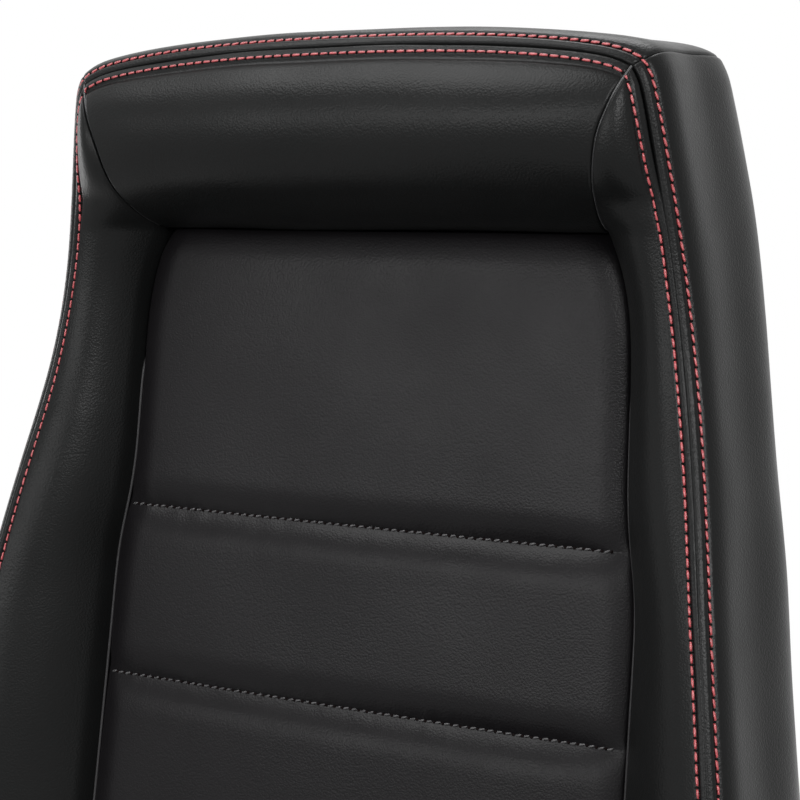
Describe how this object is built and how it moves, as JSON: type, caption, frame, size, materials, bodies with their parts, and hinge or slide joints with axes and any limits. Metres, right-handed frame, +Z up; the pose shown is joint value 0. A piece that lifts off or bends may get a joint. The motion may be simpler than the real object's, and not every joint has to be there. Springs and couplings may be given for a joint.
{
  "type": "racing seat",
  "caption": "Reclining high-back racing seat with a built-in head restraint, deep side bolsters, sewn leatherette and slider rails.",
  "frame": {"origin": "on the floor, below the middle of the seat's overall box", "axes": "+Z up; the person sitting faces -Y; +X is on their left; X = 0 is the seat's plane of symmetry"},
  "size_m": [0.5248, 0.6723, 0.9671],
  "materials": {
    "black_leatherette": "satin",
    "rear_panel": "matte",
    "grained_plastic": "matte",
    "white_nylon": "matte",
    "black_painted_steel": "satin",
    "zinc_steel": "satin",
    "spring_wire": "satin"
  },
  "bodies": {
    "base": {"floor_foot_front_left": "black_painted_steel", "floor_foot_front_right": "black_painted_steel", "floor_foot_rear_left": "black_painted_steel", "floor_foot_rear_right": "black_painted_steel", "lower_rail_left": "black_painted_steel", "lower_rail_right": "black_painted_steel"},
    "carriage": {"base_side_left": "black_painted_steel", "base_side_right": "black_painted_steel", "cushion_bolster_left": "black_leatherette", "cushion_bolster_right": "black_leatherette", "cushion_center_pad": "black_leatherette", "cushion_front_boxing": "black_leatherette", "cushion_front_roll": "black_leatherette", "cushion_pan": "black_painted_steel", "cushion_side_boxing_left": "black_leatherette", "cushion_side_boxing_right": "black_leatherette", "front_cross_tube": "black_painted_steel", "glide_shoe_front_left": "white_nylon", "glide_shoe_front_right": "white_nylon", "glide_shoe_rear_left": "white_nylon", "glide_shoe_rear_right": "white_nylon", "pivot_bush_left": "zinc_steel", "pivot_bush_right": "zinc_steel", "rear_cross_tube": "black_painted_steel", "recliner_cover_left": "grained_plastic", "recliner_cover_right": "grained_plastic", "recliner_fixed_disc_left": "zinc_steel", "recliner_fixed_disc_right": "zinc_steel", "recliner_spring_left": "spring_wire", "recliner_spring_right": "spring_wire", "upper_rail_left": "zinc_steel", "upper_rail_right": "zinc_steel"},
    "backrest": {"back_bolster_left": "black_leatherette", "back_bolster_right": "black_leatherette", "back_center_pad": "black_leatherette", "back_lower_tube": "black_painted_steel", "back_rear_cover": "rear_panel", "back_side_boxing_left": "black_leatherette", "back_side_boxing_right": "black_leatherette", "back_side_tube_left": "black_painted_steel", "back_side_tube_right": "black_painted_steel", "back_top_boxing": "black_leatherette", "back_top_tube": "black_painted_steel", "head_roll_pad": "black_leatherette", "recliner_arm_left": "black_painted_steel", "recliner_arm_right": "black_painted_steel", "recliner_moving_disc_left": "zinc_steel", "recliner_moving_disc_right": "zinc_steel", "support_wire_lower": "spring_wire", "support_wire_upper": "spring_wire"},
    "recline_release": {"lever_grip_left": "grained_plastic", "lever_grip_right": "grained_plastic", "recline_lever_left": "zinc_steel", "recline_lever_right": "zinc_steel", "release_shaft": "zinc_steel"},
    "slide_release": {"latch_plate_left": "zinc_steel", "latch_plate_right": "zinc_steel", "slide_release_bar": "zinc_steel"}
  },
  "joints": [
    {"name": "seat_slide", "type": "slide", "parent": "base", "child": "carriage", "axis": [0, 1, 0], "range_m": [-0.11, 0.11]},
    {"name": "backrest_recline", "type": "hinge", "parent": "carriage", "child": "backrest", "pos_m": [0, 0.185, 0.2], "axis": [1, 0, 0], "range_deg": [-55, 42], "deforming": ["recliner_spring_left", "recliner_spring_right"]},
    {"name": "recline_lever_lift", "type": "hinge", "parent": "carriage", "child": "recline_release", "pos_m": [0, 0.185, 0.2], "axis": [-1, 0, 0], "range_deg": [0, 28], "stiffness_Nm_per_rad": 2, "springref_deg": -20.05},
    {"name": "slide_bar_lift", "type": "hinge", "parent": "carriage", "child": "slide_release", "pos_m": [0, -0.12, 0.056], "axis": [-1, 0, 0], "range_deg": [0, 8], "stiffness_Nm_per_rad": 8, "springref_deg": -11.46}
  ]
}
